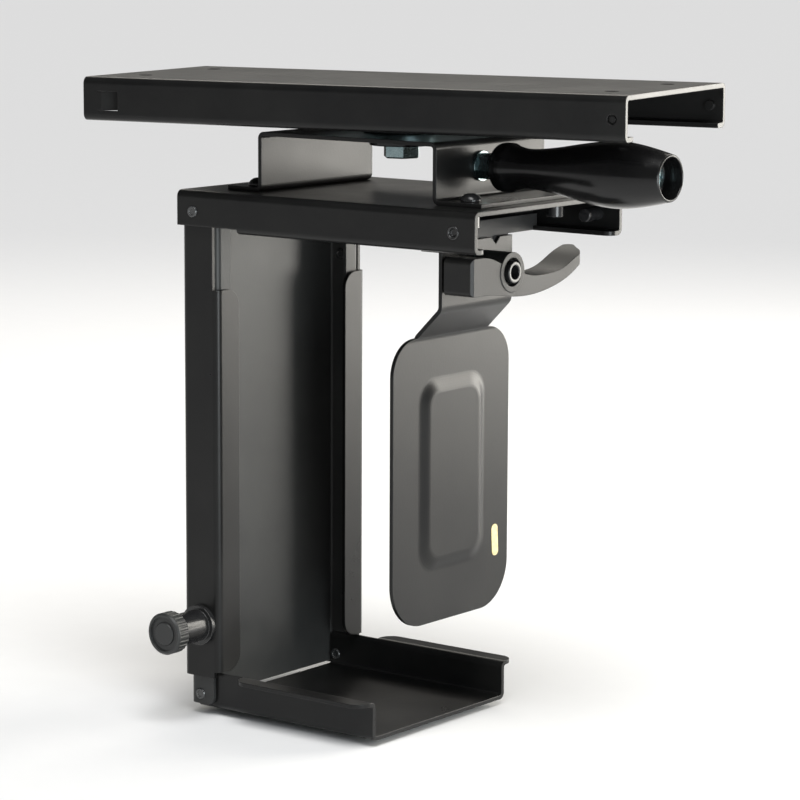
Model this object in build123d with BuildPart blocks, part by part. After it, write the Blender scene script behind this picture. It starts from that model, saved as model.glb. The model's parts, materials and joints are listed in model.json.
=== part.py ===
"""Under-desk CPU holder: a ceiling track, a swivelling carriage, a height-adjustable
upright with a floor tray, and a clamping paddle that slides along an upper channel.

Frame: millimetres, +Z up, +X along the track.  The origin is the centre of the track's
top face, which is the face that is screwed up under a desk.  The swivel axis is the Z axis.
Everything below the swivel is drawn with its channel along +X and is turned about Z at
export, because the holder rests a little clockwise of its track.
"""
from build123d import *
import os
from math import cos, pi

# ---------------------------------------------------------------- driving dimensions
holder_turn = -10.0  # rest angle of the holder about the swivel, degrees

# ceiling track
track_length = 344.0
track_width = 142.0
track_height = 25.4
track_sheet = 2.8
track_lip = 10.5
track_bend = 4.0
screw_hole_x = 149.5
screw_hole_y = 39.0
screw_hole_r = 4.25
track_stop_x = 164.0
track_stop_z = -13.0
track_stop_r = 2.8
track_tab_x = (-163.0, -149.6)
track_tab_z = (-19.4, -8.1)
tab_slit = 0.15

# carriage and swivel (bolt, nut and washer are of the 12 mm size)
plate_length = 96.0
plate_half_width = 63.0
plate_top = -13.6
plate_bottom = -17.0
glide_gap = 0.3
glide_width = 9.0
glide_length = 100.0
bolt_r = 6.0
bolt_end = -6.2
bolt_across_flats = 19.0
head_top = -37.6
head_height = 7.5
lock_nut_height = 6.0
spacer_r = 22.0
spacer_bottom = -29.0
disc_r = 22.6
disc_bottom = -30.0
washer_r = 18.5
washer_top = -33.0

# sheet used below the swivel
sheet = 2.4
bend = 4.0

# swivel bracket (hat section)
bracket_top = -30.2
bracket_half_length = 64.5
bracket_half_width = 52.0
left_foot_end = -87.5
right_foot_end = 95.7
rivet_x = (-73.4, 80.5)
rivet_y = 41.0
rivet_head_r = 5.8
rivet_head_height = 4.4
rivet_head_rim = 1.2
rivet_shank_r = 5.0
rivet_tail_length = 9.6
rivet_wall = 1.7
rivet_bore_depth = 6.0

# upper channel
channel_left = -109.5
channel_right = 106.0
channel_width = 144.0
channel_top = -65.0
channel_height = 23.6
channel_sheet = 2.6
channel_lip = 11.5
lip_start_x = -64.4
short_wall_step = 3.0
stop_pin_x = 91.0
stop_pin_z = -77.0
stop_pin_r = 4.0
stop_pin_length = 17.0
stop_pin_proud = 0.4
stop_pin_round = 0.7
stop_dish_depth = 2.0
corner_rivet_x = -97.8
corner_rivet_z = -77.2

# small sheet rivets
small_shank_r = 2.2
small_head_r = 3.6
small_head_height = 0.9
small_dish_r = 1.9
small_dish_depth = 0.5

# uprights, one inside the other
outer_left = -108.7
outer_depth = 27.6
outer_width = 138.8
outer_top = -69.4
outer_bottom = -354.9
outer_lip = 19.4
outer_lip_top = -122.8
outer_lip_bottom = -351.2
slide_gap = 0.3
inner_top = -70.0
inner_web_bottom = -371.4
inner_tab_bottom = -372.4
inner_lip = 12.7
inner_lip_bottom = -350.4
inner_tab_right = -88.0
index_pitch = 20.0
index_count = 12
index_hole_r = 3.9
upright_rivet_x = -96.5
upright_rivet_z = -113.5

# floor tray
tray_left = -101.9
tray_right = 30.7
tray_half_width = 64.3
tray_bottom = -375.0
tray_wall_top = -351.9
tray_lip = 11.2
tray_lip_left = -66.0
tray_lip_corner = 9.0
tray_rivet_x = -98.0
tray_rivet_z = -366.5

# index plunger
plunger_x = -95.6
plunger_z = -323.3
barrel_r = 9.5
barrel_front = -91.4
flange_r = 12.0
flange_thickness = 3.0
chamber_r = 6.3
pin_r = 3.5
pin_tip = -67.6
pin_collar_r = 5.9
pin_collar_y = -77.0
knob_r = 12.4
knob_front = -102.5
knob_back = -92.6
knob_cavity_depth = 7.0
knob_teeth = 28
cap_r = 7.0
spring_wire_r = 0.55
spring_turns = 5.0

# turning handle
handle_y = -10.0
handle_z = -45.6
handle_bolt_r = 4.0
handle_washer_r = 8.5
handle_washer_right = 66.3
jam_nut_across_flats = 13.0
jam_nut_right = 73.5
inner_nut_height = 6.5
handle_bolt_tail = 2.5
handle_head_left = 180.0
handle_head_r = 6.6
handle_head_height = 4.0
cross_slot_length = 7.6
cross_slot_width = 1.5
cross_slot_depth = 2.2
grip_left = 73.7
grip_right = 192.0
grip_mouth_r = 11.4
# radius of the grip along its length: neck, flange, waist, swell and end
grip_neck = ((75.4, 8.4), (77.4, 11.0), (79.3, 13.2), (81.8, 13.9))
grip_body = (
    (87.0, 13.9),
    (90.5, 12.4),
    (100.0, 11.2),
    (116.0, 12.8),
    (134.0, 15.9),
    (147.0, 17.8),
    (157.0, 18.5),
    (167.0, 17.9),
    (179.0, 15.9),
    (190.4, 13.3),
)

# clamp
slider_left = 16.0
slider_half_width = 66.0
slider_bottom = -85.7
slider_top = -78.7
slider_corner = 6.0
boss_left = 40.0
boss_half_width = 33.0
boss_bottom = -94.0
guide_half_width = 58.0
guide_bottom = -88.2
ear_inner_y = 48.0
ear_top = -68.6
tongue_right = 67.6
tongue_y = (-30.5, -18.0)
upper_face_x = 55.4
lower_face_x = 38.0
neck_half_width = 33.8
neck_top = -88.8
neck_bottom = -126.6
notch_y = (13.4, 22.0)
notch_tip_z = -93.0
paddle_top = -144.0
paddle_bottom = -312.0
paddle_half_width = 55.8
paddle_top_corner = 21.0
paddle_bottom_corner = 27.0
panel_half_width = 32.0
panel_top = -168.0
panel_bottom = -282.0
panel_corner = 14.0
panel_rise = 2.2
panel_slope = 9.0
panel_steps = 7
pad_thickness = 3.0
pad_inset = 8.0
pad_corner = 18.0
label_y = 43.0
label_z = -272.7
label_width = 6.0
label_length = 19.0
label_thickness = 0.3
pivot_y = 2.5
pivot_z = -106.2
pivot_r = 6.2
pivot_bore_r = 3.9
pivot_flange_r = 8.8
pivot_flange_thickness = 1.8
pivot_front = 80.2
lever_back = 58.3
lever_front = 78.0
lever_left = -36.0
hub_r = 11.4
hub_front = 78.4
hub_recess_r = 8.3
hub_recess_depth = 4.0
finger_end_front = (71.0, 77.5)
finger_end_back = (67.0, 80.9)
plan_bottom = -125.0
plan_height = 35.0
brake_x = 63.0
brake_y = -24.5
brake_r = 3.2
brake_foot = -95.1
shoe_r = 8.0
shoe_bottom = -77.6
shoe_top = -73.0

os.makedirs("parts", exist_ok=True)


# ---------------------------------------------------------------- shared planes and shapes
def facing_right(x, y=0.0, z=0.0):
    """Plane whose normal is +X, local x along +Y and local y along +Z."""
    return Plane(origin=(x, y, z), x_dir=(0, 1, 0), z_dir=(1, 0, 0))


def facing_front(x, y, z):
    """Plane whose normal is -Y, local x along +X and local y along +Z."""
    return Plane(origin=(x, y, z), x_dir=(1, 0, 0), z_dir=(0, -1, 0))


def facing_back(x, y, z):
    """Plane whose normal is +Y, local x along -X and local y along +Z."""
    return Plane(origin=(x, y, z), x_dir=(-1, 0, 0), z_dir=(0, 1, 0))


def facing_up(x, y, z):
    """Plane whose normal is +Z, local axes along +X and +Y."""
    return Plane(origin=(x, y, z), x_dir=(1, 0, 0), z_dir=(0, 0, 1))


def disc(plane, radius, height, mode=Mode.ADD):
    """A round bar standing on a plane."""
    with BuildSketch(plane) as outline:
        Circle(radius)
    extrude(outline.sketch, amount=height, mode=mode)


def hexagon(plane, across_flats, height, turn=0.0):
    """A hexagonal bar standing on a plane."""
    with BuildSketch(plane) as outline:
        RegularPolygon(across_flats / 2, 6, major_radius=False, rotation=turn)
    extrude(outline.sketch, amount=height)


def lipped_channel(plane, width, depth, thickness, lip, radius, length):
    """A folded channel: web on the plane's local x axis, mouth towards local -y."""
    with BuildSketch(plane) as section:
        with Locations((0, -depth / 2)):
            Rectangle(width, depth)
        fillet(section.vertices(), radius)
        with Locations((0, -depth / 2)):
            RectangleRounded(
                width - 2 * thickness,
                depth - 2 * thickness,
                radius - thickness,
                mode=Mode.SUBTRACT,
            )
        with Locations((0, -depth)):
            Rectangle(width - 2 * lip, 2 * thickness, mode=Mode.SUBTRACT)
    extrude(section.sketch, amount=length)


def block(low, high, mode=Mode.ADD):
    """A rectangular block between two corners."""
    size = [b - a for a, b in zip(low, high)]
    with BuildSketch(facing_up((low[0] + high[0]) / 2, (low[1] + high[1]) / 2, low[2])) as outline:
        Rectangle(size[0], size[1])
    extrude(outline.sketch, amount=size[2], mode=mode)


def small_rivet_head(plane):
    """A low, dished rivet head standing on a plane."""
    with BuildSketch(plane) as outline:
        Circle(small_head_r)
    extrude(outline.sketch, amount=small_head_height, taper=30)
    disc(plane.offset(small_head_height), small_dish_r, -small_dish_depth, mode=Mode.SUBTRACT)


def edges_near(part, axis, x=None, y=None, z=None, within=0.6):
    """Edges along an axis whose centre is near the given coordinates."""
    def close(edge):
        middle = edge.center()
        pairs = ((middle.X, x), (abs(middle.Y), y), (middle.Z, z))
        return all(want is None or abs(have - want) < within for have, want in pairs)

    return part.edges().filter_by(axis).filter_by(close)


finished = []


def finish(builder, name, turned=True):
    """Label a finished piece and write its STEP file, turned with the holder if it hangs on it."""
    piece = builder.part
    if turned:
        piece = piece.rotate(Axis.Z, holder_turn)
    piece.label = name
    export_step(piece, f"parts/{name}.step")
    finished.append(name)


# ---------------------------------------------------------------- ceiling track
track_inner_y = track_width / 2 - track_sheet
with BuildPart() as track_channel:
    lipped_channel(
        facing_right(-track_length / 2),
        track_width,
        track_height,
        track_sheet,
        track_lip,
        track_bend,
        track_length,
    )
    with BuildSketch(facing_up(0, 0, -track_sheet)):
        with GridLocations(2 * screw_hole_x, 2 * screw_hole_y, 2, 2):
            Circle(screw_hole_r)
    extrude(amount=track_sheet, mode=Mode.SUBTRACT)
    # pressed stop buttons near the right end, dished outside and proud inside
    for side, plane_of in ((-1, facing_back), (1, facing_front)):
        inner = plane_of(track_stop_x, side * track_inner_y, track_stop_z)
        outer = plane_of(track_stop_x, side * track_width / 2, track_stop_z)
        disc(inner, track_stop_r, 2.0)
        disc(outer, track_stop_r, 1.8, mode=Mode.SUBTRACT)
        disc(outer.offset(0.6), track_stop_r - 1.0, 1.2)
    # stop tab lanced from the front wall near the left end and pushed inwards
    tab_middle_z = (track_tab_z[0] + track_tab_z[1]) / 2
    tab_height = track_tab_z[1] - track_tab_z[0]
    tab_length = track_tab_x[1] - track_tab_x[0]
    block(
        (track_tab_x[0], -track_width / 2, track_tab_z[0]),
        (track_tab_x[1] + 1.0, -track_inner_y, track_tab_z[1]),
        mode=Mode.SUBTRACT,
    )
    with BuildSketch(facing_up(0, 0, track_tab_z[0] + tab_slit)):
        with BuildLine():
            Polyline(
                (track_tab_x[0] - 0.5, -track_width / 2),
                (track_tab_x[0] - 0.5, -track_inner_y),
                (track_tab_x[0] + 2.2, -track_inner_y),
                (track_tab_x[1] - 1.0, -track_inner_y + 5.5),
                (track_tab_x[1], -track_inner_y + 3.2),
                (track_tab_x[0] + 3.2, -track_width / 2),
                close=True,
            )
        make_face()
    extrude(amount=tab_height - 2 * tab_slit)
finish(track_channel, "track_channel", turned=False)

# ---------------------------------------------------------------- carriage in the track
with BuildPart() as carriage_plate:
    block(
        (-plate_length / 2, -plate_half_width, plate_bottom),
        (plate_length / 2, plate_half_width, plate_top),
    )
    fillet(carriage_plate.edges().filter_by(Axis.Z), 6.0)
    disc(facing_up(0, 0, plate_bottom), bolt_r, plate_top - plate_bottom, mode=Mode.SUBTRACT)
finish(carriage_plate, "carriage_plate", turned=False)

lip_top = -track_height + track_sheet
for side, name in ((-1, "carriage_glide_front"), (1, "carriage_glide_rear")):
    outer_y = side * (track_inner_y - glide_gap - 0.3)
    inner_y = outer_y - side * glide_width
    near_y, far_y = sorted((outer_y, inner_y))
    with BuildPart() as glide:
        block(
            (-glide_length / 2, near_y, lip_top + glide_gap),
            (glide_length / 2, far_y, -track_sheet - glide_gap),
        )
        fillet(glide.edges().filter_by(Axis.Z), 1.5)
        fillet(glide.edges().filter_by(Axis.X), 1.2)
        slot_near, slot_far = sorted((side * plate_half_width, side * (plate_half_width - glide_width)))
        block(
            (-plate_length / 2, slot_near, plate_bottom),
            (plate_length / 2, slot_far, plate_top),
            mode=Mode.SUBTRACT,
        )
    finish(glide, name, turned=False)

with BuildPart() as swivel_bolt:
    hexagon(facing_up(0, 0, head_top - head_height), bolt_across_flats, head_height, turn=4.0)
    chamfer(swivel_bolt.faces().sort_by(Axis.Z)[0].edges(), 0.8)
    disc(facing_up(0, 0, head_top), bolt_r, bolt_end - head_top)
    chamfer(swivel_bolt.faces().sort_by(Axis.Z)[-1].edges(), 0.8)
finish(swivel_bolt, "swivel_bolt", turned=False)

with BuildPart() as swivel_lock_nut:
    hexagon(facing_up(0, 0, plate_top), bolt_across_flats, lock_nut_height, turn=15.0)
    disc(facing_up(0, 0, plate_top), bolt_r, lock_nut_height, mode=Mode.SUBTRACT)
finish(swivel_lock_nut, "swivel_lock_nut", turned=False)

ring_parts = (
    ("swivel_spacer", spacer_r, spacer_bottom, plate_bottom),
    ("bearing_disc", disc_r, disc_bottom, spacer_bottom),
    ("swivel_washer", washer_r, head_top, washer_top),
)
for name, outer_r, low_z, high_z in ring_parts:
    with BuildPart() as ring:
        disc(facing_up(0, 0, low_z), outer_r, high_z - low_z)
        chamfer(ring.edges(), 0.4)
        disc(facing_up(0, 0, low_z), bolt_r, high_z - low_z, mode=Mode.SUBTRACT)
    finish(ring, name, turned=False)

# ---------------------------------------------------------------- swivel bracket
foot_top = channel_top + sheet
half_sheet = sheet / 2
with BuildPart() as swivel_bracket:
    with BuildSketch(facing_front(0, bracket_half_width, 0)):
        with BuildLine():
            FilletPolyline(
                (left_foot_end, channel_top + half_sheet),
                (-bracket_half_length + half_sheet, channel_top + half_sheet),
                (-bracket_half_length + half_sheet, bracket_top - half_sheet),
                (bracket_half_length - half_sheet, bracket_top - half_sheet),
                (bracket_half_length - half_sheet, channel_top + half_sheet),
                (right_foot_end, channel_top + half_sheet),
                radius=bend - half_sheet,
            )
        trace(line_width=sheet)
    extrude(amount=2 * bracket_half_width)
    disc(facing_up(0, 0, bracket_top - sheet), bolt_r + 0.08, sheet, mode=Mode.SUBTRACT)
    disc(
        facing_right(bracket_half_length - sheet, handle_y, handle_z),
        handle_bolt_r,
        sheet,
        mode=Mode.SUBTRACT,
    )
    rivet_places = [(x, y) for x in rivet_x for y in (-rivet_y, rivet_y)]
    for x, y in rivet_places:
        disc(facing_up(x, y, channel_top), rivet_shank_r, sheet, mode=Mode.SUBTRACT)
finish(swivel_bracket, "swivel_bracket")

rivet_length = foot_top - (channel_top - channel_sheet - rivet_tail_length)
with BuildPart() as bracket_rivets:
    for x, y in rivet_places:
        with BuildSketch(facing_front(x, y, foot_top)):
            with BuildLine():
                ThreePointArc(
                    (0, rivet_head_height),
                    (rivet_head_r * 0.68, rivet_head_height * 0.82),
                    (rivet_head_r, rivet_head_rim),
                )
                Polyline(
                    (rivet_head_r, rivet_head_rim),
                    (rivet_head_r, 0),
                    (rivet_shank_r, 0),
                    (rivet_shank_r, -rivet_length),
                    (rivet_shank_r - rivet_wall, -rivet_length),
                    (rivet_shank_r - rivet_wall, rivet_bore_depth - rivet_length),
                    (0, rivet_bore_depth - rivet_length),
                    (0, rivet_head_height),
                )
            make_face()
        revolve(axis=Axis((x, y, 0), (0, 0, 1)))
finish(bracket_rivets, "bracket_rivets")

# ---------------------------------------------------------------- upper channel
channel_length = channel_right - channel_left
channel_half = channel_width / 2
channel_inner_y = channel_half - channel_sheet
channel_bottom = channel_top - channel_height
with BuildPart() as upper_channel:
    lipped_channel(
        facing_right(channel_left, 0, channel_top),
        channel_width,
        channel_height,
        channel_sheet,
        channel_lip,
        bend,
        channel_length,
    )
    block(
        (channel_left, -channel_half, channel_bottom),
        (lip_start_x, channel_half, channel_bottom + short_wall_step),
        mode=Mode.SUBTRACT,
    )
    block(
        (channel_left, -channel_inner_y, channel_bottom),
        (lip_start_x, channel_inner_y, channel_bottom + bend),
        mode=Mode.SUBTRACT,
    )
    lip_corner = edges_near(
        upper_channel.part, Axis.Z, x=lip_start_x, y=channel_half - channel_lip, z=channel_bottom + channel_sheet / 2
    )
    end_corner = edges_near(
        upper_channel.part, Axis.Z, x=channel_right, y=channel_half - channel_lip, z=channel_bottom + channel_sheet / 2
    )
    fillet(lip_corner + end_corner, 5.0)
    for x, y in rivet_places:
        disc(
            facing_up(x, y, channel_top - channel_sheet), rivet_shank_r, channel_sheet, mode=Mode.SUBTRACT
        )
    for side, plane_of in ((-1, facing_back), (1, facing_front)):
        disc(
            plane_of(stop_pin_x, side * channel_half, stop_pin_z), stop_pin_r, channel_sheet, mode=Mode.SUBTRACT
        )
        disc(
            plane_of(corner_rivet_x, side * channel_half, corner_rivet_z),
            small_shank_r,
            channel_sheet,
            mode=Mode.SUBTRACT,
        )
finish(upper_channel, "upper_channel")

with BuildPart() as clamp_stop_pins:
    for side, plane_of in ((-1, facing_back), (1, facing_front)):
        outer = plane_of(stop_pin_x, side * channel_half, stop_pin_z)
        disc(outer.offset(-stop_pin_proud), stop_pin_r, stop_pin_length + stop_pin_proud)
        fillet(clamp_stop_pins.faces().filter_by(Axis.Y).edges(), stop_pin_round)
        with BuildSketch(outer.offset(-stop_pin_proud)):
            Circle(stop_pin_r - 1.2)
        extrude(amount=stop_dish_depth, taper=25, mode=Mode.SUBTRACT)
finish(clamp_stop_pins, "clamp_stop_pins")

# ---------------------------------------------------------------- outer upright
outer_half = outer_width / 2
outer_right = outer_left + outer_depth
outer_inner_half = outer_half - sheet
with BuildPart() as outer_upright:
    lipped_channel(
        Plane(origin=(outer_left, 0, outer_bottom), x_dir=(0, 1, 0), z_dir=(0, 0, 1)),
        outer_width,
        outer_depth,
        sheet,
        outer_lip,
        bend,
        outer_top - outer_bottom,
    )
    # the lips are trimmed off inside the upper channel and just above the tray
    for low_z, high_z in ((outer_lip_top, outer_top), (outer_bottom, outer_lip_bottom)):
        block(
            (outer_right - bend, -outer_half, low_z),
            (outer_right, outer_half, high_z),
            mode=Mode.SUBTRACT,
        )
    for corner_z in (outer_lip_top, outer_lip_bottom):
        corner = edges_near(
            outer_upright.part, Axis.X, x=outer_right - half_sheet, y=outer_half - outer_lip, z=corner_z
        )
        fillet(corner, 10.0)
    for side, plane_of in ((-1, facing_back), (1, facing_front)):
        disc(
            plane_of(corner_rivet_x, side * outer_half, corner_rivet_z), small_shank_r, sheet, mode=Mode.SUBTRACT
        )
    disc(facing_back(plunger_x, -outer_half, plunger_z), pin_r + 0.08, sheet, mode=Mode.SUBTRACT)
finish(outer_upright, "outer_upright")

with BuildPart() as corner_rivets:
    for side, plane_of in ((-1, facing_front), (1, facing_back)):
        disc(
            plane_of(corner_rivet_x, side * outer_inner_half, corner_rivet_z),
            small_shank_r,
            channel_half - outer_inner_half,
        )
        small_rivet_head(plane_of(corner_rivet_x, side * channel_half, corner_rivet_z))
finish(corner_rivets, "corner_rivets")

# ---------------------------------------------------------------- index plunger
wall_y = -outer_half


def plunger_axis_plane(y):
    """Plane across the plunger's axis, facing the front."""
    return facing_front(plunger_x, y, plunger_z)


with BuildPart() as plunger_barrel:
    disc(plunger_axis_plane(wall_y), flange_r, flange_thickness)
    disc(plunger_axis_plane(wall_y), barrel_r, wall_y - barrel_front)
    front_edges = plunger_barrel.faces().sort_by(Axis.Y)[0].edges()
    chamfer(front_edges, 0.8)
    disc(plunger_axis_plane(wall_y), chamber_r, wall_y - barrel_front - 2.4, mode=Mode.SUBTRACT)
    disc(plunger_axis_plane(wall_y), pin_r + 0.08, wall_y - barrel_front, mode=Mode.SUBTRACT)
finish(plunger_barrel, "plunger_barrel")

with BuildPart() as plunger_pin:
    disc(plunger_axis_plane(pin_tip), pin_r, pin_tip - (knob_front + 3.4))
    chamfer(plunger_pin.faces().sort_by(Axis.Y)[-1].edges(), 0.8)
    disc(plunger_axis_plane(pin_collar_y), pin_collar_r, 2.0)
finish(plunger_pin, "plunger_pin")

with BuildPart() as plunger_knob:
    disc(plunger_axis_plane(knob_back), knob_r, knob_back - knob_front)
    chamfer(plunger_knob.edges(), 1.0)
    with BuildSketch(plunger_axis_plane(knob_back)):
        with PolarLocations(knob_r + 0.35, knob_teeth):
            Circle(0.85)
    extrude(amount=knob_back - knob_front - 1.8, mode=Mode.SUBTRACT)
    disc(plunger_axis_plane(knob_front + 1.3), 10.2, 1.3, mode=Mode.SUBTRACT)
    disc(plunger_axis_plane(knob_back), barrel_r + 0.4, knob_cavity_depth - 1.2, mode=Mode.SUBTRACT)
    disc(plunger_axis_plane(knob_back), pin_r, knob_back - knob_front - 3.4, mode=Mode.SUBTRACT)
finish(plunger_knob, "plunger_knob")

with BuildPart() as plunger_cap:
    disc(plunger_axis_plane(knob_front + 1.3), cap_r, 1.1)
    chamfer(plunger_cap.faces().sort_by(Axis.Y)[0].edges(), 0.5)
finish(plunger_cap, "plunger_cap")

spring_back = pin_collar_y - 2.0 - spring_wire_r - 0.1
spring_front = barrel_front + 2.4 + spring_wire_r + 0.1
spring_length = spring_back - spring_front
with BuildPart() as plunger_spring:
    with BuildLine() as coil:
        Helix(
            pitch=spring_length / spring_turns,
            height=spring_length,
            radius=5.0,
            center=(plunger_x, spring_back, plunger_z),
            direction=(0, -1, 0),
        )
    with BuildSketch(Plane(origin=coil.line @ 0, z_dir=coil.line % 0)):
        Circle(spring_wire_r)
    sweep(path=coil.line)
finish(plunger_spring, "plunger_spring")

# ---------------------------------------------------------------- turning handle
def handle_plane(x):
    """Plane across the handle's axis, facing right."""
    return facing_right(x, handle_y, handle_z)


with BuildPart() as handle_bolt:
    handle_bolt_left = bracket_half_length - sheet - inner_nut_height - handle_bolt_tail
    handle_head_right = handle_head_left + handle_head_height
    disc(handle_plane(handle_bolt_left), handle_bolt_r, handle_head_left - handle_bolt_left)
    disc(handle_plane(handle_head_left), handle_head_r, handle_head_height)
    fillet(handle_bolt.faces().sort_by(Axis.X)[-1].edges(), 1.6)
    with BuildSketch(handle_plane(handle_head_right)):
        Rectangle(cross_slot_length, cross_slot_width)
        Rectangle(cross_slot_width, cross_slot_length)
    extrude(amount=-cross_slot_depth, mode=Mode.SUBTRACT)
finish(handle_bolt, "handle_bolt")

handle_nuts = (
    ("handle_jam_nut", handle_washer_right, jam_nut_right),
    ("handle_inner_nut", bracket_half_length - sheet - inner_nut_height, bracket_half_length - sheet),
)
for name, left_x, right_x in handle_nuts:
    with BuildPart() as nut:
        hexagon(handle_plane(left_x), jam_nut_across_flats, right_x - left_x, turn=15.0)
        disc(handle_plane(left_x), handle_bolt_r, right_x - left_x, mode=Mode.SUBTRACT)
    finish(nut, name)

with BuildPart() as handle_washer:
    washer_thickness = handle_washer_right - bracket_half_length
    disc(handle_plane(bracket_half_length), handle_washer_r, washer_thickness)
    disc(handle_plane(bracket_half_length), handle_bolt_r, washer_thickness, mode=Mode.SUBTRACT)
finish(handle_washer, "handle_washer")

with BuildPart() as handle_grip:
    with BuildSketch(facing_front(0, handle_y, handle_z)):
        with BuildLine():
            Polyline((grip_left, 0), (grip_left, 7.6), grip_neck[0])
            Spline(grip_neck, tangents=((1, 0.4), (1, 0)))
            Line(grip_neck[-1], grip_body[0])
            Spline(grip_body, tangents=((1, -0.1), (1, -0.2)))
            ThreePointArc(grip_body[-1], (grip_right, 12.4), (grip_right - 0.7, grip_mouth_r))
            Polyline((grip_right - 0.7, grip_mouth_r), (grip_right - 0.7, 0), (grip_left, 0))
        make_face()
    revolve(axis=Axis((0, handle_y, handle_z), (1, 0, 0)))
    bolt_clearance_r = handle_bolt_r + 0.08
    grip_floor = handle_head_left - 0.3
    disc(handle_plane(grip_left), bolt_clearance_r, grip_right - grip_left, mode=Mode.SUBTRACT)
    disc(handle_plane(grip_floor), grip_mouth_r, grip_right - grip_floor, mode=Mode.SUBTRACT)
finish(handle_grip, "handle_grip")

# ---------------------------------------------------------------- inner upright
inner_left = outer_left + sheet + slide_gap
inner_half = outer_inner_half - slide_gap
inner_right = outer_right - sheet - slide_gap
with BuildPart() as inner_upright:
    lipped_channel(
        Plane(origin=(inner_left, 0, inner_tab_bottom), x_dir=(0, 1, 0), z_dir=(0, 0, 1)),
        2 * inner_half,
        inner_right - inner_left,
        sheet,
        inner_lip,
        bend,
        inner_top - inner_tab_bottom,
    )
    block(
        (inner_tab_right, -inner_half, inner_tab_bottom),
        (inner_right, inner_half, inner_lip_bottom),
        mode=Mode.SUBTRACT,
    )
    block(
        (inner_left, -inner_half + bend, inner_tab_bottom),
        (inner_left + sheet, inner_half - bend, inner_web_bottom),
        mode=Mode.SUBTRACT,
    )
    for corner_z in (inner_top, inner_lip_bottom):
        corner = edges_near(
            inner_upright.part, Axis.X, x=inner_right - half_sheet, y=inner_half - inner_lip, z=corner_z
        )
        fillet(corner, 6.0)
    tab_corner = edges_near(
        inner_upright.part, Axis.Y, x=inner_tab_right, y=inner_half - half_sheet, z=inner_tab_bottom
    )
    fillet(tab_corner, 5.0)
    for step in range(index_count):
        hole = facing_back(plunger_x, -inner_half, plunger_z + step * index_pitch)
        disc(hole, index_hole_r, sheet, mode=Mode.SUBTRACT)
    for side, plane_of in ((-1, facing_back), (1, facing_front)):
        for x, z in ((upright_rivet_x, upright_rivet_z), (tray_rivet_x, tray_rivet_z)):
            disc(plane_of(x, side * inner_half, z), small_shank_r, sheet, mode=Mode.SUBTRACT)
finish(inner_upright, "inner_upright")

with BuildPart() as upright_stop_rivets:
    for side, plane_of in ((-1, facing_back), (1, facing_front)):
        disc(plane_of(upright_rivet_x, side * inner_half, upright_rivet_z), small_shank_r, sheet)
        small_rivet_head(plane_of(upright_rivet_x, side * (inner_half - sheet), upright_rivet_z))
finish(upright_stop_rivets, "upright_stop_rivets")

# ---------------------------------------------------------------- floor tray
tray_length = tray_right - tray_left
tray_inner_half = tray_half_width - sheet
with BuildPart() as tray:
    with BuildSketch(facing_right(tray_left)):
        with BuildLine():
            FilletPolyline(
                (-tray_half_width - tray_lip, tray_wall_top - half_sheet),
                (-tray_half_width + half_sheet, tray_wall_top - half_sheet),
                (-tray_half_width + half_sheet, tray_bottom + half_sheet),
                (tray_half_width - half_sheet, tray_bottom + half_sheet),
                (tray_half_width - half_sheet, tray_wall_top - half_sheet),
                (tray_half_width + tray_lip, tray_wall_top - half_sheet),
                radius=bend - half_sheet,
            )
        trace(line_width=sheet)
    extrude(amount=tray_length)
    for side in (-1, 1):
        near_y, far_y = sorted((side * tray_half_width, side * (tray_half_width + tray_lip)))
        block(
            (tray_left, near_y, tray_wall_top - bend),
            (tray_lip_left, far_y, tray_wall_top),
            mode=Mode.SUBTRACT,
        )
    lip_edges = edges_near(tray.part, Axis.Z, y=tray_half_width + tray_lip, z=tray_wall_top - half_sheet)
    fillet(lip_edges, tray_lip_corner)
    for side, plane_of in ((-1, facing_back), (1, facing_front)):
        disc(
            plane_of(tray_rivet_x, side * tray_half_width, tray_rivet_z), small_shank_r, sheet, mode=Mode.SUBTRACT
        )
finish(tray, "tray")

with BuildPart() as tray_rivets:
    for side, inwards, outwards in ((-1, facing_back, facing_front), (1, facing_front, facing_back)):
        shank_length = inner_half - tray_inner_half
        disc(inwards(tray_rivet_x, side * inner_half, tray_rivet_z), small_shank_r, shank_length)
        small_rivet_head(inwards(tray_rivet_x, side * tray_inner_half, tray_rivet_z))
        small_rivet_head(outwards(tray_rivet_x, side * inner_half, tray_rivet_z))
finish(tray_rivets, "tray_rivets")

# ---------------------------------------------------------------- clamp slider and paddle
plate_back = upper_face_x - sheet
with BuildPart() as clamp_slider:
    block(
        (slider_left, -slider_half_width, slider_bottom),
        (plate_back, slider_half_width, slider_top),
    )
    fillet(clamp_slider.edges().filter_by(Axis.Z), slider_corner)
    # tongue that guides the brake's pin, and the boss that carries the plate
    block((plate_back - slider_corner, tongue_y[0], slider_bottom), (tongue_right, tongue_y[1], slider_top))
    block((boss_left, -boss_half_width, boss_bottom), (plate_back, boss_half_width, slider_bottom))
    # guide between the channel's lips, and ears that fill the channel's height at its sides
    block((slider_left, -guide_half_width, guide_bottom), (plate_back, guide_half_width, slider_bottom))
    for side in (-1, 1):
        near_y, far_y = sorted((side * ear_inner_y, side * slider_half_width))
        block((slider_left + slider_corner, near_y, slider_top), (plate_back - slider_corner, far_y, ear_top))
    disc(
        facing_up(brake_x, brake_y, slider_bottom),
        brake_r + 0.08,
        slider_top - slider_bottom,
        mode=Mode.SUBTRACT,
    )
finish(clamp_slider, "clamp_slider")

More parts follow.
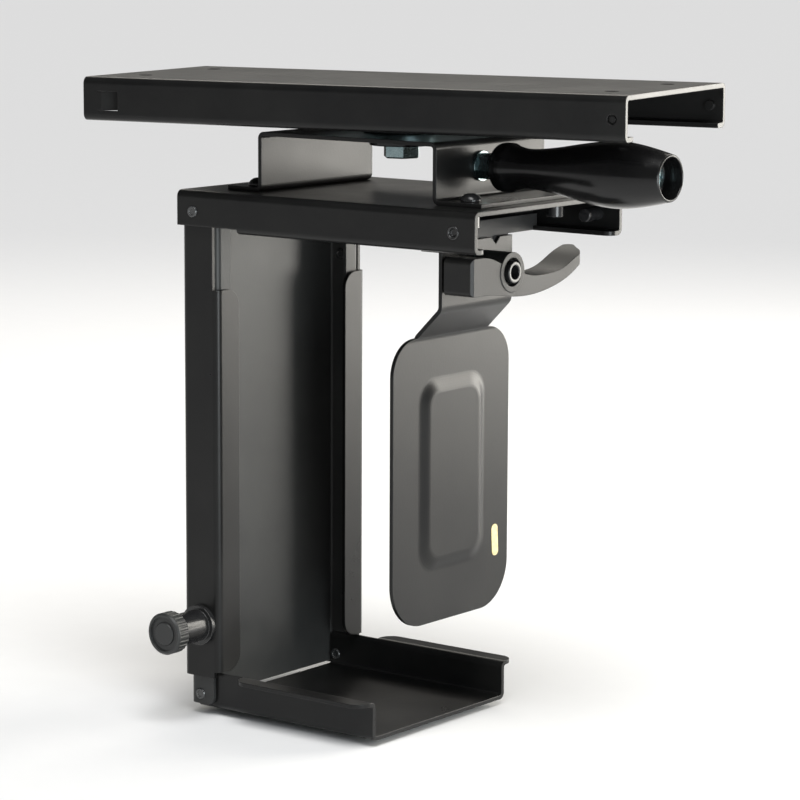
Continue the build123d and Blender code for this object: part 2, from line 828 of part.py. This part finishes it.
with BuildPart() as clamp_paddle:
    with BuildSketch(facing_front(0, paddle_half_width, 0)):
        with BuildLine():
            FilletPolyline(
                (upper_face_x - half_sheet, neck_top),
                (upper_face_x - half_sheet, neck_bottom),
                (lower_face_x - half_sheet, paddle_top),
                (lower_face_x - half_sheet, paddle_bottom),
                radius=5.0,
            )
        trace(line_width=sheet)
    extrude(amount=2 * paddle_half_width)
    # outline of the plate seen from the right
    neck_foot = paddle_top - 6.0
    with BuildSketch(facing_right(lower_face_x - 10.0)) as outline:
        with Locations((0, (paddle_top + paddle_bottom) / 2)):
            Rectangle(2 * paddle_half_width, paddle_top - paddle_bottom)
        fillet(outline.vertices().group_by(Axis.Y)[-1], paddle_top_corner)
        fillet(outline.vertices().group_by(Axis.Y)[0], paddle_bottom_corner)
        with Locations((0, (neck_top + neck_foot) / 2)):
            Rectangle(2 * neck_half_width, neck_top - neck_foot)
        notch_middle = (notch_y[0] + notch_y[1]) / 2
        with BuildLine():
            Polyline((notch_y[0], neck_top), (notch_middle, notch_tip_z), (notch_y[1], neck_top), close=True)
        make_face(mode=Mode.SUBTRACT)
    extrude(amount=40.0, mode=Mode.INTERSECT)
    # raised panel with softly curved sides, dished from behind
    panel_width = 2 * panel_half_width
    panel_height = panel_top - panel_bottom
    panel_z = (panel_top + panel_bottom) / 2
    for face_x, mode in ((lower_face_x, Mode.ADD), (lower_face_x - sheet, Mode.SUBTRACT)):
        for step in range(panel_steps + 1):
            part_way = step / panel_steps
            inset = panel_slope * part_way
            rise = panel_rise * (1 - cos(pi * part_way)) / 2
            with BuildSketch(facing_right(face_x + rise, 0, panel_z)):
                RectangleRounded(panel_width - 2 * inset, panel_height - 2 * inset, panel_corner - inset / 2)
        loft(ruled=True, mode=mode)
    disc(facing_right(plate_back, pivot_y, pivot_z), pivot_r, sheet, mode=Mode.SUBTRACT)
finish(clamp_paddle, "clamp_paddle")

with BuildPart() as clamp_pad:
    pad_back = lower_face_x - sheet - pad_thickness
    pad_width = 2 * (paddle_half_width - pad_inset)
    pad_height = paddle_top - paddle_bottom - 2 * pad_inset
    with BuildSketch(facing_right(pad_back, 0, (paddle_top + paddle_bottom) / 2)):
        RectangleRounded(pad_width, pad_height, pad_corner)
    extrude(amount=pad_thickness)
    fillet(clamp_pad.faces().sort_by(Axis.X)[0].edges(), 1.0)
finish(clamp_pad, "clamp_pad")

with BuildPart() as paddle_label:
    with BuildSketch(facing_right(lower_face_x, label_y, label_z)):
        RectangleRounded(label_width, label_length, label_width / 2 - 0.2, rotation=3.5)
    extrude(amount=label_thickness)
finish(paddle_label, "paddle_label")

# ---------------------------------------------------------------- cam lever and brake


def pivot_plane(x):
    """Plane across the lever's pivot, facing right."""
    return facing_right(x, pivot_y, pivot_z)


with BuildPart() as lever_pivot:
    pivot_back = plate_back - pivot_flange_thickness
    disc(pivot_plane(plate_back), pivot_r, pivot_front - plate_back)
    disc(pivot_plane(pivot_back), pivot_flange_r, pivot_flange_thickness)
    disc(pivot_plane(pivot_back), pivot_bore_r, pivot_front - pivot_back, mode=Mode.SUBTRACT)
    fillet(lever_pivot.faces().sort_by(Axis.X)[-1].edges(), 0.6)
finish(lever_pivot, "lever_pivot")

with BuildPart() as lever_washer:
    lever_washer_thickness = lever_back - 0.2 - upper_face_x
    disc(pivot_plane(upper_face_x), 10.5, lever_washer_thickness)
    disc(pivot_plane(upper_face_x), pivot_r, lever_washer_thickness, mode=Mode.SUBTRACT)
finish(lever_washer, "lever_washer")

with BuildPart() as cam_lever:
    # side outline: cam lobe on the left, slim finger rising to the right
    with BuildSketch(facing_right(lever_back)):
        with BuildLine():
            Line((lever_left, -99.2), (lever_left, -114.6))
            ThreePointArc((lever_left, -114.6), (-35.2, -116.6), (-33.2, -117.4))
            Spline(
                (-33.2, -117.4),
                (-17.4, -117.6),
                (2.6, -120.2),
                (23.0, -120.8),
                (43.7, -118.0),
                (62.8, -111.8),
                (73.0, -106.2),
                (83.6, -101.8),
                tangents=((1, 0), (1, 0.35)),
            )
            ThreePointArc((83.6, -101.8), (85.4, -99.8), (83.2, -98.0))
            Spline(
                (83.2, -98.0),
                (71.0, -101.2),
                (54.2, -108.0),
                (33.2, -110.4),
                (12.0, -107.0),
                tangents=((-1, -0.2), (-1, 0.4)),
            )
            Line((12.0, -107.0), (-7.6, -100.6))
            Spline((-7.6, -100.6), (-18.5, -96.8), (-31.5, -95.8), tangents=((-1, 0.35), (-1, 0)))
            ThreePointArc((-31.5, -95.8), (-34.8, -96.6), (lever_left, -99.2))
        make_face()
    extrude(amount=lever_front - lever_back)
    # plan outline: the finger's end is cut on a slant and the front corners are rounded
    with BuildSketch(facing_up(0, 0, plan_bottom)):
        with BuildLine():
            Line(finger_end_front, finger_end_back)
            ThreePointArc(finger_end_back, (61.6, 83.0), (57.0, 79.0))
            Polyline((57.0, 79.0), (57.0, -38.0), (74.0, -38.0))
            ThreePointArc((74.0, -38.0), (77.3, -35.2), (79.5, -31.0))
            Line((79.5, -31.0), (79.5, 64.5))
            ThreePointArc((79.5, 64.5), (76.8, 72.2), finger_end_front)
        make_face()
    extrude(amount=plan_height, mode=Mode.INTERSECT)
    disc(pivot_plane(lever_back), hub_r, hub_front - lever_back)
    disc(pivot_plane(hub_front), hub_recess_r, -hub_recess_depth, mode=Mode.SUBTRACT)
    disc(pivot_plane(lever_back), pivot_r + 0.08, hub_front - lever_back, mode=Mode.SUBTRACT)
finish(cam_lever, "cam_lever")

with BuildPart() as brake_pin:
    disc(facing_up(brake_x, brake_y, brake_foot), brake_r, shoe_bottom - brake_foot)
    chamfer(brake_pin.faces().sort_by(Axis.Z)[0].edges(), 1.2)
finish(brake_pin, "brake_pin")

with BuildPart() as brake_shoe:
    disc(facing_up(brake_x, brake_y, shoe_bottom), shoe_r, shoe_top - shoe_bottom)
    chamfer(brake_shoe.edges(), 0.6)
finish(brake_shoe, "brake_shoe")

print(len(finished), "pieces written")
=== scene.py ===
"""Looks for the under-desk CPU holder: black powder-coated sheet, zinc fasteners, moulded plastic."""
import json
from math import cos, pi, radians, sin

import bmesh
import bpy
from mathutils import Matrix, Vector


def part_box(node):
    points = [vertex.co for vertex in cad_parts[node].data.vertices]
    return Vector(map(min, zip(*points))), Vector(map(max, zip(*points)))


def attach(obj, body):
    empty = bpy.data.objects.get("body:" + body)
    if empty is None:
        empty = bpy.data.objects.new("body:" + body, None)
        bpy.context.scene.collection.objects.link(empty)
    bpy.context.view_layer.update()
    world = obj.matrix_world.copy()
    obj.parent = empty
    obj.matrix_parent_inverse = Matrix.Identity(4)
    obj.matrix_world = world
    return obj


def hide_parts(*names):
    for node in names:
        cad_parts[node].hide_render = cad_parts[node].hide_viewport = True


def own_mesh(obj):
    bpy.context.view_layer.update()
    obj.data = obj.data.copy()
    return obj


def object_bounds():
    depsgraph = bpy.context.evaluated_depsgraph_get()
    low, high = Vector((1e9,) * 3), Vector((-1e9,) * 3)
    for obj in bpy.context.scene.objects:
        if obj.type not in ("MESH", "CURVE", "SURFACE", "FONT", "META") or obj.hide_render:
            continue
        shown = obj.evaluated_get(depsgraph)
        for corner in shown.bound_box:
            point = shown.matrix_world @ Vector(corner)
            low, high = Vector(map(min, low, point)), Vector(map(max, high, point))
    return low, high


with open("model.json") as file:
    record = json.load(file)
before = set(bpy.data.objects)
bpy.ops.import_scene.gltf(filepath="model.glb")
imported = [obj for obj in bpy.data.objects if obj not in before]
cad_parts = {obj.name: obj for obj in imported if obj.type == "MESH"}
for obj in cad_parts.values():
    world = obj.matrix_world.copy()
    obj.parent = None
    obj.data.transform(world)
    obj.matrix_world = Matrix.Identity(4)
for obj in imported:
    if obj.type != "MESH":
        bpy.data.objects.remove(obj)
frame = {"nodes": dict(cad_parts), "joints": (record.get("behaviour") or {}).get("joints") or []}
cad_box = [list(corner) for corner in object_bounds()]
MM = 0.001
HOLDER_TURN = radians(-10.0)


# ---------------------------------------------------------------- places, from the frame
def middle(node):
    """Centre of a CAD node's box."""
    low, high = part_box(node)
    return (Vector(low) + Vector(high)) / 2


def turned(vector):
    """A direction of the holder's own axes, in the row frame."""
    return Matrix.Rotation(HOLDER_TURN, 3, "Z") @ Vector(vector)


HOLDER_X = turned((1, 0, 0))
HOLDER_FRONT = turned((0, -1, 0))
UP = Vector((0, 0, 1))


# ---------------------------------------------------------------- material nodes
class Nodes:
    """A material's node tree with short calls for the few nodes used here."""

    def __init__(self, name):
        self.material = bpy.data.materials.new(name)
        self.material.use_nodes = True
        self.tree = self.material.node_tree
        self.shader = self.tree.nodes["Principled BSDF"]
        self.place = self.add("ShaderNodeTexCoord").outputs["Object"]

    def add(self, kind, **settings):
        node = self.tree.nodes.new(kind)
        for key, value in settings.items():
            if key in node.inputs:
                node.inputs[key].default_value = value
            else:
                setattr(node, key, value)
        return node

    def link(self, source, target):
        self.tree.links.new(source, target)

    def stretched(self, scale):
        node = self.add("ShaderNodeMapping")
        node.inputs["Scale"].default_value = scale
        self.link(self.place, node.inputs["Vector"])
        return node.outputs["Vector"]

    def noise(self, size, detail=3.0, rough=0.55, place=None):
        """Noise with blotches of about this size in metres."""
        node = self.add("ShaderNodeTexNoise", Scale=1.0 / size, Detail=detail, Roughness=rough)
        self.link(place or self.place, node.inputs["Vector"])
        return node.outputs["Fac"]

    def span(self, value, low, high, to_low, to_high):
        """Remaps value from low..high to to_low..to_high, clamped."""
        node = self.add("ShaderNodeMapRange")
        for key, number in (("From Min", low), ("From Max", high), ("To Min", to_low), ("To Max", to_high)):
            node.inputs[key].default_value = number
        self.link(value, node.inputs["Value"])
        return node.outputs["Result"]

    def blend(self, factor, one, two):
        """A colour between two, by a factor; either may be a socket."""
        node = self.add("ShaderNodeMix", data_type="RGBA")
        self.link(factor, node.inputs["Factor"])
        for socket, colour in ((node.inputs[6], one), (node.inputs[7], two)):
            if isinstance(colour, bpy.types.NodeSocket):
                self.link(colour, socket)
            else:
                socket.default_value = (*colour, 1.0)
        return node.outputs[2]

    def maths(self, operation, one, two):
        node = self.add("ShaderNodeMath", operation=operation)
        for socket, value in zip(node.inputs, (one, two)):
            if isinstance(value, bpy.types.NodeSocket):
                self.link(value, socket)
            else:
                socket.default_value = value
        return node.outputs[0]

    def rounded_edges(self, radius):
        """Normals that turn smoothly over hard edges, and a mask of where they do."""
        bevel = self.add("ShaderNodeBevel", Radius=radius, samples=6)
        flat = self.add("ShaderNodeNewGeometry")
        dot = self.add("ShaderNodeVectorMath", operation="DOT_PRODUCT")
        self.link(bevel.outputs["Normal"], dot.inputs[0])
        self.link(flat.outputs["Normal"], dot.inputs[1])
        return bevel.outputs["Normal"], self.span(dot.outputs["Value"], 0.97, 0.75, 0.0, 1.0)

    def bump(self, height, strength, distance, normal=None):
        node = self.add("ShaderNodeBump", Strength=strength, Distance=distance)
        self.link(height, node.inputs["Height"])
        if normal:
            self.link(normal, node.inputs["Normal"])
        return node.outputs["Normal"]

    def finish(self, colour=None, rough=None, normal=None, **uniform):
        """Links what varies and sets what doesn't on the shader itself."""
        for name, value in (("Base Color", colour), ("Roughness", rough), ("Normal", normal)):
            if value is not None:
                self.link(value, self.shader.inputs[name])
        for name, value in uniform.items():
            self.shader.inputs[name.replace("_", " ")].default_value = value
        return self.material


def powder_coat(name, black, dusty, rough=0.30, edge_wear_and_sheen=0.35, shine=0.26):
    """Satin black powder coat: fine orange peel, faint cloudy gloss, settled dust, and edges lightened
    partly as rubbed wear and partly as a painted highlight.
    """
    n = Nodes(name)
    peel = n.noise(0.0011, detail=2.0)
    fine = n.noise(0.00035, detail=1.0)
    clouds = n.noise(0.045, detail=4.0)
    scuffs = n.noise(0.006, detail=5.0, rough=0.7, place=n.stretched((0.25, 1.0, 1.0)))
    rounded, edges = n.rounded_edges(0.0006)
    # mask of the hard edges, broken by noise: partly rubbed wear, partly a painted highlight along the
    # edges
    wear_and_edge_sheen = n.maths("MULTIPLY", edges, n.span(n.noise(0.009), 0.42, 0.68, 0.15, 1.0))
    colour = n.blend(n.span(clouds, 0.35, 0.7, 0.0, 1.0), black, dusty)
    # the edges lightened towards grey: a painted highlight as well as rubbed wear
    colour = n.blend(n.maths("MULTIPLY", wear_and_edge_sheen, edge_wear_and_sheen), colour, (0.16, 0.155, 0.15))
    base = n.span(clouds, 0.3, 0.7, rough - 0.03, rough + 0.04)
    marks = n.span(scuffs, 0.60, 0.78, 0.0, 0.06)
    roughness = n.maths("ADD", base, marks)
    normal = n.bump(peel, 0.16, 0.0002, rounded)
    normal = n.bump(fine, 0.10, 0.00008, normal)
    return n.finish(colour, roughness, normal, Specular_IOR_Level=shine)


def plated(name, colour, tint, rough, grain=(1.0, 1.0, 1.0)):
    """Zinc-plated or bare steel with fine marks and a cloudy tint."""
    n = Nodes(name)
    clouds = n.noise(0.004, detail=4.0)
    marks = n.noise(0.0006, detail=3.0, place=n.stretched(grain))
    rounded, _ = n.rounded_edges(0.00035)
    mixed = n.blend(n.span(clouds, 0.35, 0.68, 0.0, 1.0), colour, tint)
    roughness = n.span(marks, 0.3, 0.7, rough - 0.06, rough + 0.1)
    return n.finish(mixed, roughness, n.bump(marks, 0.2, 0.00006, rounded), Metallic=1.0)


def plastic(name, colour, wear_and_edge_sheen, rough, grain, depth, shine=0.5):
    """Moulded plastic with a fine spark-eroded grain, a cloudy tone, and edges lightened partly as rubbed
    wear and partly as a painted highlight.
    """
    n = Nodes(name)
    texture = n.noise(grain, detail=2.0)
    clouds = n.noise(0.02, detail=3.0)
    rounded, edges = n.rounded_edges(0.0004)
    # edges lightened towards the lighter colour: partly rubbed wear, partly a painted highlight
    mixed = n.blend(n.maths("MULTIPLY", edges, 0.5), n.blend(clouds, colour, wear_and_edge_sheen), wear_and_edge_sheen)
    roughness = n.span(clouds, 0.3, 0.7, rough - 0.04, rough + 0.06)
    return n.finish(mixed, roughness, n.bump(texture, depth, 0.0001, rounded), Specular_IOR_Level=shine)


def foam(name):
    """Closed-cell foam: pitted skin, matt."""
    n = Nodes(name)
    cell_size = 0.0011
    cells = n.add("ShaderNodeTexVoronoi", Scale=1.0 / cell_size)
    n.link(n.place, cells.inputs["Vector"])
    clouds = n.noise(0.015)
    mixed = n.blend(n.span(clouds, 0.3, 0.7, 0.0, 1.0), (0.012, 0.012, 0.013), (0.022, 0.022, 0.022))
    roughness = n.span(clouds, 0.3, 0.7, 0.86, 0.96)
    return n.finish(mixed, roughness, n.bump(cells.outputs["Distance"], 0.5, 0.0003))


def foil(name):
    """Gold foil, faintly brushed and clouded."""
    n = Nodes(name)
    clouds = n.noise(0.003, detail=4.0)
    brushed = n.noise(0.0004, place=n.stretched((1.0, 1.0, 0.1)))
    mixed = n.blend(n.span(clouds, 0.35, 0.7, 0.0, 1.0), (0.80, 0.68, 0.38), (0.62, 0.50, 0.24))
    roughness = n.span(brushed, 0.3, 0.7, 0.30, 0.46)
    return n.finish(mixed, roughness, n.bump(brushed, 0.15, 0.00004), Metallic=0.35)


black_coat = powder_coat("black_powder_coat", (0.006, 0.006, 0.0062), (0.010, 0.010, 0.0096))
# painted light: a lighter copy of the black powder coat for the inner upright, standing in for the light on
# its far wall and web
lit_inner_coat = powder_coat(
    "inner_powder_coat_painted_light", (0.034, 0.035, 0.035), (0.044, 0.045, 0.044), rough=0.34, shine=0.22,
)
lever_coat = powder_coat("lever_coat", (0.014, 0.014, 0.014), (0.022, 0.021, 0.020), rough=0.40)
dark_steel = powder_coat(
    "dark_steel", (0.010, 0.010, 0.011), (0.020, 0.020, 0.020), rough=0.24, edge_wear_and_sheen=0.8, shine=0.5,
)
# rivet heads in a lighter coat with fully lightened edges: partly rubbed wear, partly a painted highlight
# for the bright crescent on the heads
rivet_steel = powder_coat(
    "rivet_steel", (0.018, 0.019, 0.020), (0.032, 0.034, 0.035), rough=0.20, edge_wear_and_sheen=1.0, shine=0.9,
)
zinc = plated("zinc_plate", (0.24, 0.33, 0.35), (0.34, 0.43, 0.44), 0.23)
steel = plated("bare_steel", (0.52, 0.52, 0.51), (0.42, 0.42, 0.43), 0.30)
nylon = plastic("nylon_black", (0.012, 0.012, 0.012), (0.03, 0.03, 0.03), 0.55, 0.0009, 0.15)
grip_plastic = plastic(
    "black_plastic", (0.003, 0.003, 0.0032), (0.006, 0.006, 0.006), 0.20, 0.0014, 0.05, shine=0.36,
)
knob_plastic = plastic("knob_plastic", (0.012, 0.013, 0.013), (0.03, 0.031, 0.031), 0.40, 0.0007, 0.12)
foam_pad = foam("foam_pad")
rubber = plastic("rubber_shoe", (0.014, 0.014, 0.014), (0.03, 0.03, 0.03), 0.7, 0.0006, 0.2)
gold = foil("gold_label")

looks = {
    black_coat: (
        "track_channel", "swivel_bracket", "upper_channel", "outer_upright", "tray", "clamp_paddle",
    ),
    # the inner upright takes the lighter copy of the coat: painted light
    lit_inner_coat: ("inner_upright",),
    lever_coat: ("cam_lever",),
    dark_steel: (
        "swivel_washer", "bracket_rivets", "clamp_stop_pins", "plunger_barrel", "lever_pivot",
    ),
    rivet_steel: ("corner_rivets", "upright_stop_rivets", "tray_rivets"),
    zinc: (
        "carriage_plate", "swivel_spacer", "swivel_bolt", "swivel_lock_nut", "handle_bolt",
        "handle_inner_nut", "handle_jam_nut", "handle_washer", "lever_washer",
    ),
    steel: ("plunger_spring", "plunger_pin", "brake_pin"),
    nylon: ("carriage_glide_front", "carriage_glide_rear", "bearing_disc", "clamp_slider"),
    grip_plastic: ("handle_grip",),
    knob_plastic: ("plunger_knob", "plunger_cap"),
    foam_pad: ("clamp_pad",),
    rubber: ("brake_shoe",),
    gold: ("paddle_label",),
}
for material, names in looks.items():
    for name in names:
        node = frame["nodes"][name]
        node.data.materials.clear()
        node.data.materials.append(material)


# ---------------------------------------------------------------- pieces with a softer shape than the CAD's
def catmull_rom(p, q, r, s, t):
    """The value a share t of the way from q to r, on a curve that also heeds p and s."""
    square = (2 * p - 5 * q + 4 * r - s) * t ** 2
    cube = (3 * q - p - 3 * r + s) * t ** 3
    return 0.5 * (2 * q + (r - p) * t + square + cube)


def smooth_through(points, steps):
    """Points along a Catmull-Rom curve through the given ones."""
    ends = [points[0], *points, points[-1]]
    line = [
        tuple(catmull_rom(*numbers, step / steps) for numbers in zip(*four))
        for four in zip(ends, ends[1:], ends[2:], ends[3:])
        for step in range(steps)
    ]
    return line + [points[-1]]


def band(first, second, count):
    """Faces between two rings of points, given by the numbers of their first points."""
    return [
        (first + i, first + (i + 1) % count, second + (i + 1) % count, second + i)
        for i in range(count)
    ]


def new_piece(name, rings, close_ends, body, node, material):
    """A smooth mesh through rings of points, standing for a CAD node.

    With close_ends it has a lid at each end; without, its last ring joins its first."""
    mesh = bpy.data.meshes.new(name)
    count = len(rings[0])
    last = (len(rings) - 1) * count
    faces = [face for first in range(0, last, count) for face in band(first, first + count, count)]
    if close_ends:
        faces.append(tuple(reversed(range(count))))
        faces.append(tuple(last + i for i in range(count)))
    else:
        faces += band(last, 0, count)
    mesh.from_pydata([tuple(point) for ring in rings for point in ring], [], faces)
    edit = bmesh.new()
    edit.from_mesh(mesh)
    bmesh.ops.recalc_face_normals(edit, faces=edit.faces)
    edit.to_mesh(mesh)
    mesh.shade_smooth()
    mesh.materials.append(material)
    piece = bpy.data.objects.new(name, mesh)
    bpy.context.collection.objects.link(piece)
    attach(piece, body)
    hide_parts(node)
    return piece


# the turned grip: its outline as distance along the axis and radius, in millimetres
GRIP_NECK = [(75.4, 8.4), (77.4, 11.0), (79.3, 13.2), (81.8, 13.9), (84.4, 14.0), (87.0, 13.8)]
GRIP_BODY = [
    (90.5, 12.4), (100.0, 11.2), (116.0, 12.8), (134.0, 15.9), (147.0, 17.8), (157.0, 18.5),
    (167.0, 17.9), (179.0, 15.9), (190.2, 13.4),
]
GRIP_LIP = [(191.3, 13.0), (191.9, 12.2), (191.6, 11.6), (190.6, 11.4)]
GRIP_BORE = [(181.0, 11.4), (179.9, 11.0), (179.7, 10.0), (179.7, 4.1)]
GRIP_START, GRIP_START_RADIUS, BOLT_HOLE_RADIUS = 73.7, 7.6, 4.1
GRIP_SIDES = 128
TURNING_PLACE = 140.0
turning = next(joint for joint in frame["joints"] if joint["name"] == "handle_turn")
grip_axis = Vector(turning["pos_m"]) - TURNING_PLACE * MM * HOLDER_X
grip_outside = [(GRIP_START, GRIP_START_RADIUS), *GRIP_NECK, *GRIP_BODY, *GRIP_LIP]
grip_line = smooth_through(grip_outside, 6) + GRIP_BORE + [(GRIP_START, BOLT_HOLE_RADIUS)]
grip_rings = [
    [
        grip_axis + MM * (x * HOLDER_X + r * (cos(turn) * HOLDER_FRONT + sin(turn) * UP))
        for turn in (2 * pi * i / GRIP_SIDES for i in range(GRIP_SIDES))
    ]
    for x, r in grip_line
]
new_piece("turned_grip", grip_rings, False, "handle", "handle_grip", grip_plastic)

# the foam pad behind the paddle, with a softly rounded rim; each ring is drawn in by an inset, at a depth
PAD_HALF_WIDTH, PAD_THICK, PAD_CORNER = 47.8, 3.0, 18.0
PAD_CORNER_STEPS = 12
PAD_RIM = [
    (0.5, 0.02), (0.1, 0.5), (0.0, 1.2), (0.3, 2.0), (1.0, 2.6), (2.4, 2.9), (6.0, 2.98), (14.0, 3.0),
]
pad_low, pad_high = (Vector(corner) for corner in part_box("clamp_pad"))
pad_middle = middle("clamp_pad")
pad_half_height = (pad_high.z - pad_low.z) / 2 / MM


def pad_ring(inset, depth):
    """One ring of the pad's outline, drawn in by inset, at a depth behind the plate."""
    half_y, half_z = PAD_HALF_WIDTH - inset, pad_half_height - inset
    corner = max(PAD_CORNER - inset, 2.0)
    ring = []
    for turn, side_y, side_z in ((0, 1, 1), (pi / 2, -1, 1), (pi, -1, -1), (3 * pi / 2, 1, -1)):
        for step in range(PAD_CORNER_STEPS + 1):
            angle = turn + step / PAD_CORNER_STEPS * pi / 2
            y = side_y * (half_y - corner) + corner * cos(angle)
            z = side_z * (half_z - corner) + corner * sin(angle)
            ring.append(pad_middle + MM * ((PAD_THICK / 2 - depth) * HOLDER_X - y * HOLDER_FRONT + z * UP))
    return ring


pad_rings = [pad_ring(inset, depth) for inset, depth in PAD_RIM]
pad = new_piece("foam_pad", pad_rings, True, "clamp", "clamp_pad", foam_pad)

# the plunger's coil spring, drawn as a fixed coil on the holder; the real one closes up as the knob is
# pulled
SPRING_LENGTH, SPRING_RADIUS, WIRE_RADIUS, SPRING_TURNS = 8.7, 5.0, 0.3, 5
STEPS_PER_TURN, WIRE_SIDES = 28, 10
spring_middle = middle("plunger_spring")
spring_steps = SPRING_TURNS * STEPS_PER_TURN
spring_rings = []
for step in range(spring_steps + 1):
    turn = 2 * pi * SPRING_TURNS * step / spring_steps
    outwards = cos(turn) * HOLDER_X + sin(turn) * UP
    along = (step / spring_steps - 0.5) * SPRING_LENGTH
    spot = spring_middle + MM * (along * HOLDER_FRONT + SPRING_RADIUS * outwards)
    spring_rings.append([
        spot + MM * WIRE_RADIUS * (cos(round_wire) * outwards + sin(round_wire) * HOLDER_FRONT)
        for round_wire in (2 * pi * i / WIRE_SIDES for i in range(WIRE_SIDES))
    ])
coil = new_piece("coil_spring", spring_rings, True, "holder", "plunger_spring", steel)
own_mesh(coil)

# ---------------------------------------------------------------- floor, light and camera
FLOOR_RADIUS, FLOOR_GAP = 14.0, 0.004
low, high = (Vector(corner) for corner in cad_box)
centre = (low + high) / 2

floor_mesh = bpy.data.meshes.new("floor")
floor_edit = bmesh.new()
bmesh.ops.create_circle(floor_edit, cap_ends=True, radius=FLOOR_RADIUS, segments=96)
floor_edit.to_mesh(floor_mesh)
floor = bpy.data.objects.new("floor", floor_mesh)
floor.location = (0, 0, low.z - FLOOR_GAP)
bpy.context.collection.objects.link(floor)
paint = Nodes("floor_paint")
speckle = paint.noise(0.02, detail=2.0)
floor_mesh.materials.append(
    paint.finish(
        paint.blend(speckle, (0.80, 0.80, 0.80), (0.82, 0.82, 0.82)),
        paint.span(speckle, 0.0, 1.0, 0.75, 0.85),
        Specular_IOR_Level=0.2,
    )
)

# a dim white room lights the object evenly
ROOM_STRENGTH = 0.10
world = bpy.data.worlds.new("studio")
world.use_nodes = True
room = world.node_tree.nodes["Background"]
room.inputs["Color"].default_value = (1.0, 1.0, 1.0, 1.0)
room.inputs["Strength"].default_value = ROOM_STRENGTH
bpy.context.scene.world = world
bpy.context.scene.view_settings.view_transform = "Standard"

# the camera stands in front of the track, turned round its middle, and looks a little down
VIEW_AZIMUTH = radians(27.58)
VIEW_PITCH = radians(9.03)
VIEW_ROLL = radians(0.244)
SENSOR_WIDTH, LENS = 36.0, 142.6005
CAMERA_RIGHT, CAMERA_AHEAD, CAMERA_UP = -0.0001, -1.8353, 0.10437
view_right = Vector((cos(VIEW_AZIMUTH), sin(VIEW_AZIMUTH), 0))
view_ahead = Vector((-sin(VIEW_AZIMUTH), cos(VIEW_AZIMUTH), 0))
camera_data = bpy.data.cameras.new("camera")
camera_data.sensor_width = SENSOR_WIDTH
camera_data.lens = LENS
camera_data.clip_end = 100.0
camera = bpy.data.objects.new("camera", camera_data)
camera.location = CAMERA_AHEAD * view_ahead + CAMERA_RIGHT * view_right + CAMERA_UP * UP
look = (view_ahead * cos(VIEW_PITCH) - UP * sin(VIEW_PITCH)).normalized()
roll = Matrix.Rotation(VIEW_ROLL, 3, "Z").to_quaternion()
camera.rotation_mode = "QUATERNION"
camera.rotation_quaternion = look.to_track_quat("-Z", "Y") @ roll
bpy.context.collection.objects.link(camera)
bpy.context.scene.camera = camera


def soft_light(name, where, power, width, height, colour):
    """A rectangular soft box aimed at the middle of the object."""
    data = bpy.data.lights.new(name, "AREA")
    data.shape = "RECTANGLE"
    data.size = width
    data.size_y = height
    data.energy = power
    data.color = colour
    lamp = bpy.data.objects.new(name, data)
    lamp.visible_camera = False
    lamp.location = where
    lamp.rotation_euler = (centre - Vector(where)).to_track_quat("-Z", "Y").to_euler()
    bpy.context.collection.objects.link(lamp)


def beside(right, ahead, up):
    """A place at these distances in metres from the object's middle, along the view's own axes."""
    return centre + right * view_right + ahead * view_ahead + up * UP


# the big box stands to the right and a little behind: the faces turned to the paddle mirror it
soft_light("side_box", beside(1.5, 0.70, 0.2), 40, 1.0, 1.2, (1.0, 0.965, 0.89))
soft_light("back_box", beside(0.2, 1.7, 1.2), 10, 1.6, 0.8, (1.0, 0.96, 0.88))
# a low cool box in front and to the right draws the thin highlights along the folds
soft_light("front_box", beside(0.52, -0.97, 0.07), 7, 0.5, 0.45, (0.9, 0.97, 1.0))

# a broad soft sun, high on the front right, draws the soft shadow on the floor
sun_data = bpy.data.lights.new("sky", "SUN")
sun_data.energy = 2.9
sun_data.angle = radians(40)
sun = bpy.data.objects.new("sky", sun_data)
sun.rotation_euler = (radians(20), radians(14), 0)
bpy.context.collection.objects.link(sun)
